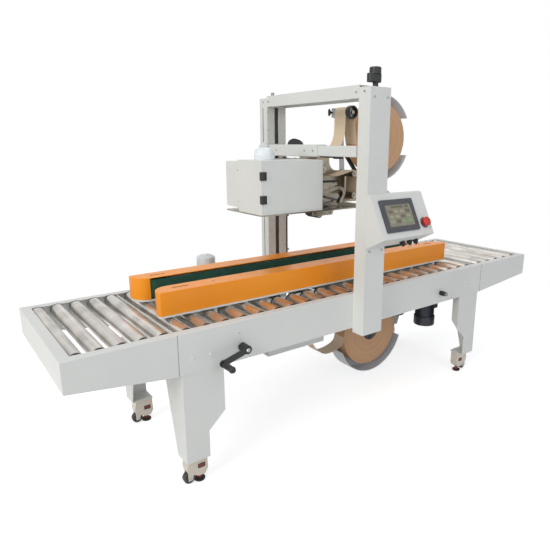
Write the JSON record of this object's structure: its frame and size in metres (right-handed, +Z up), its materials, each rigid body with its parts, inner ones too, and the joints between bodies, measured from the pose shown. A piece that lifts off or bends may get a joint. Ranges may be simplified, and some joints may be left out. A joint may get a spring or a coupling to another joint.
{
  "type": "gummed tape case sealer",
  "caption": "Carton sealing machine for gummed paper tape: roller table with side belt drives, a portal with a height-adjustable tape head, tape rolls above and below",
  "frame": {"origin": "On the floor, under the middle of the bounding box", "axes": "X along the line, from the infeed end to the outfeed end; Y across, away from the operator's side; Z up"},
  "size_m": [2.51, 0.9037, 1.508],
  "materials": {
    "grey_paint": "semi-gloss powder coat",
    "orange_paint": "semi-gloss powder coat",
    "green_rubber": "matte rubber belt",
    "zinc_steel": "zinc plated",
    "bright_steel": "brushed",
    "dark_iron": "dark enamel",
    "kraft_paper": "matte paper",
    "ivory_paint": "satin",
    "dark_rubber": "matte",
    "black_plastic": "moulded, matte",
    "red_plastic": "gloss",
    "white_plastic": "translucent"
  },
  "bodies": {
    "frame": {"near_side_panel": "grey_paint", "far_side_panel": "grey_paint", "infeed_frame": "grey_paint", "outfeed_frame": "grey_paint", "cross_members": "grey_paint", "infeed_legs": "grey_paint", "outfeed_legs": "grey_paint", "caster_housings": "ivory_paint", "caster_wheels": "dark_rubber", "caster_pads": "dark_rubber", "near_column": "grey_paint", "far_column": "grey_paint", "top_crossbeam": "grey_paint", "lift_screws": "bright_steel", "control_box": "grey_paint", "touch_screen": "black_plastic", "conveyor_rollers": "zinc_steel", "short_rollers": "zinc_steel", "lower_tape_head": "grey_paint", "lower_head_rollers": "bright_steel", "lower_roll_holder": "zinc_steel", "lower_tape": "kraft_paper", "rear_width_screw": "bright_steel", "lower_water_bottle": "white_plastic"},
    "near_drive": {"near_cover": "orange_paint", "near_belt": "green_rubber", "near_drive_frame": "zinc_steel", "near_pulleys": "dark_iron", "near_motor": "dark_iron"},
    "far_drive": {"far_cover": "orange_paint", "far_belt": "green_rubber", "far_drive_frame": "zinc_steel", "far_pulleys": "dark_iron", "far_motor": "dark_iron"},
    "width_handle": {"width_crank": "black_plastic", "front_width_screw": "bright_steel"},
    "carriage": {"carriage_beam": "grey_paint", "head_housing": "grey_paint", "head_rear_cover": "grey_paint", "head_plate": "bright_steel", "head_rollers": "bright_steel", "head_arm": "bright_steel", "upper_roll_holder": "zinc_steel", "upper_tape": "kraft_paper", "head_water_bottle": "black_plastic"},
    "lift_handle": {"lift_crank": "black_plastic"},
    "door": {"head_door": "grey_paint"},
    "upper_roll": {"upper_tape_roll": "kraft_paper"},
    "lower_roll": {"lower_tape_roll": "kraft_paper"},
    "stop": {"stop_button": "red_plastic"}
  },
  "joints": [
    {"name": "side_drive_width", "type": "slide", "parent": "frame", "child": "near_drive", "axis": [0, -1, 0], "range_m": [-0.02, 0.11]},
    {"name": "far_drive_width", "type": "slide", "parent": "frame", "child": "far_drive", "axis": [0, 1, 0], "range_m": [-0.02, 0.11]},
    {"name": "width_crank_turn", "type": "hinge", "parent": "frame", "child": "width_handle", "pos_m": [-0.652, -0.286, 0.507], "axis": [0, -1, 0], "range_deg": [-361, 1981]},
    {"name": "head_height", "type": "slide", "parent": "frame", "child": "carriage", "axis": [0, 0, 1], "range_m": [-0.2, 0.14]},
    {"name": "lift_crank_turn", "type": "hinge", "parent": "frame", "child": "lift_handle", "pos_m": [-0.049, -0.318, 1.45], "axis": [0, 0, 1], "range_deg": [-7201, 5041]},
    {"name": "door_hinge", "type": "hinge", "parent": "carriage", "child": "door", "pos_m": [-0.438, -0.1116, 1.052], "axis": [0, 0, -1], "range_deg": [0, 110]},
    {"name": "upper_roll_spin", "type": "hinge", "parent": "carriage", "child": "upper_roll", "pos_m": [0.318, 0.034, 1.251], "axis": [0, 1, 0], "continuous": true},
    {"name": "lower_roll_spin", "type": "hinge", "parent": "frame", "child": "lower_roll", "pos_m": [0.293, 0.034, 0.271], "axis": [0, 1, 0], "continuous": true},
    {"name": "stop_press", "type": "slide", "parent": "frame", "child": "stop", "axis": [0, 0.8955, -0.4451], "range_m": [0, 0.005], "stiffness_N_per_m": 1500, "springref_m": -0.002}
  ],
  "couplings": [
    {"joint": "far_drive_width", "follows": "side_drive_width", "ratio": 1},
    {"joint": "width_crank_turn", "follows": "side_drive_width", "rad_per_m": 314.16},
    {"joint": "lift_crank_turn", "follows": "head_height", "rad_per_m": 628.32}
  ]
}
